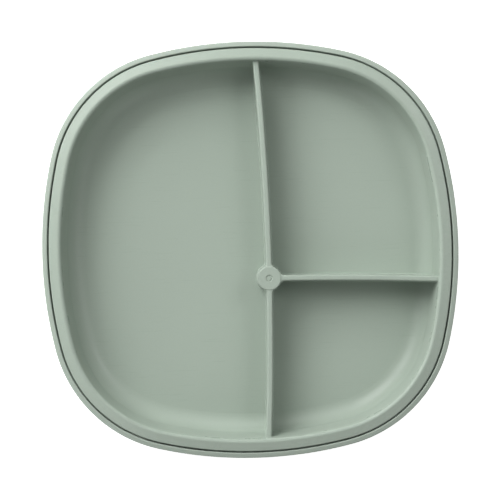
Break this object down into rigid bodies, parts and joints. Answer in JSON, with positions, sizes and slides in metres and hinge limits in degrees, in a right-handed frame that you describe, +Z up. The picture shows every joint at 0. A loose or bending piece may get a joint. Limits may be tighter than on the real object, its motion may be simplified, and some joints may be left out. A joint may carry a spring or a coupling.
{
  "type": "suction bowl",
  "caption": "Low soft-square divided baby plate in a soft silicone base, with a large and two smaller compartments and a suction cup with a release tab beneath.",
  "frame": {"origin": "On the surface the bowl stands on, under the middle of its outline.", "axes": "+Z up out of the compartments. +X points away from the large compartment, towards the two small ones, and +Y towards the larger of those two. The release tab is on the -Y side."},
  "size_m": [0.21, 0.21, 0.0373],
  "materials": {
    "plate_plastic": "satin sage green moulded plastic with a fine spark-eroded grain",
    "base_silicone": "matte sage green food-grade silicone"
  },
  "bodies": {
    "suction_cup": {"suction_lip": "base_silicone", "suction_skirt": "base_silicone"},
    "base": {"base_sleeve": "base_silicone"},
    "plate": {"divided_plate": "plate_plastic"},
    "tab": {"release_tab": "base_silicone"}
  },
  "joints": [
    {"name": "suction_press", "type": "slide", "parent": "suction_cup", "child": "base", "axis": [0, 0, -1], "range_m": [0, 0.0025], "stiffness_N_per_m": 4000, "springref_m": -0.001, "deforming": ["suction_skirt"]},
    {"name": "plate_lift", "type": "slide", "parent": "base", "child": "plate", "axis": [0, 0, 1], "range_m": [0, 0.045]},
    {"name": "release_tab_flex", "type": "hinge", "parent": "suction_cup", "child": "tab", "pos_m": [0, -0.0803, 0.0015], "axis": [-1, 0, 0], "range_deg": [0, 20], "stiffness_Nm_per_rad": 0.002}
  ]
}
